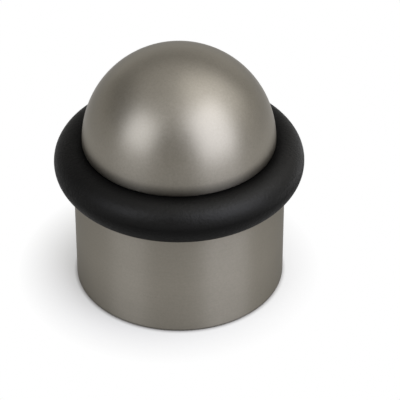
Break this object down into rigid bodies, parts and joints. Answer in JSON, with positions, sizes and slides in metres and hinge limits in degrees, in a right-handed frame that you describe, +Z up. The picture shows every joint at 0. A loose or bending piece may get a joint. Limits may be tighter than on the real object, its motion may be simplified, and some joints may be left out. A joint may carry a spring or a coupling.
{
  "type": "floor door stop",
  "caption": "Floor door stop: a round satin metal post with a domed head, and a black rubber buffer ring in a groove under the head.",
  "frame": {"origin": "centre of the base, on the floor", "axes": "+Z up, along the axis of the post and the ring"},
  "size_m": [0.0448, 0.0448, 0.0461],
  "materials": {
    "satin_nickel": "satin",
    "black_rubber": "matt"
  },
  "bodies": {
    "root": {"stop_body": "satin_nickel", "rubber_ring": "black_rubber"}
  },
  "joints": []
}
